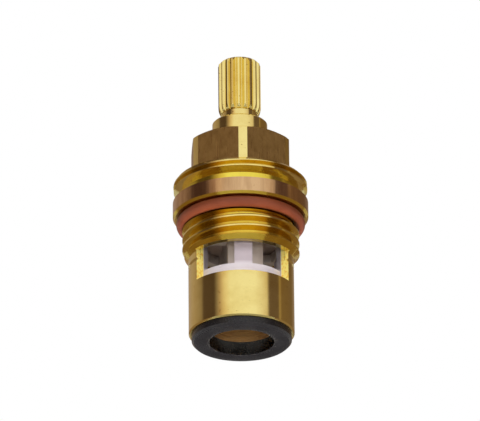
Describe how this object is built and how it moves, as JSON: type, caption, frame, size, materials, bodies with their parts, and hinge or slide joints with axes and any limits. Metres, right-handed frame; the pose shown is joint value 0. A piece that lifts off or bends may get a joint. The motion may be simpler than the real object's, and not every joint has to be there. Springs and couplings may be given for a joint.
{
  "type": "ceramic disc tap cartridge",
  "caption": "Quarter-turn ceramic disc tap cartridge in turned brass, with splined stem, hexagon, threaded body, side outlet windows and rubber seat seal.",
  "frame": {"origin": "centre of the flat sealing face at the bottom of the seat seal", "axes": "+Z along the spindle towards the splined head; one outlet window and one corner of the hexagon face -Y"},
  "size_m": [0.024, 0.024, 0.054],
  "materials": {
    "turned_brass": "bright turned",
    "spindle_brass": "bright turned",
    "ring_brass": "dull turned",
    "black_rubber": "moulded",
    "red_rubber": "moulded",
    "white_acetal": "moulded",
    "alumina": "lapped",
    "washer_plastic": "stamped",
    "spring_steel": "bright"
  },
  "bodies": {
    "housing": {"bonnet": "turned_brass", "disc_sleeve": "turned_brass", "disc_cage": "white_acetal", "fixed_disc": "alumina", "seat_seal": "black_rubber", "seal_support_ring": "ring_brass", "body_o_ring": "red_rubber", "thrust_washer": "washer_plastic"},
    "rotor": {"spindle": "spindle_brass", "moving_disc": "alumina", "lower_spindle_o_ring": "black_rubber", "upper_spindle_o_ring": "black_rubber", "spindle_clip": "spring_steel"}
  },
  "joints": [
    {"name": "spindle_turn", "type": "hinge", "parent": "housing", "child": "rotor", "pos_m": [0, 0, 0.03], "axis": [0, 0, 1], "range_deg": [0, 90]}
  ]
}
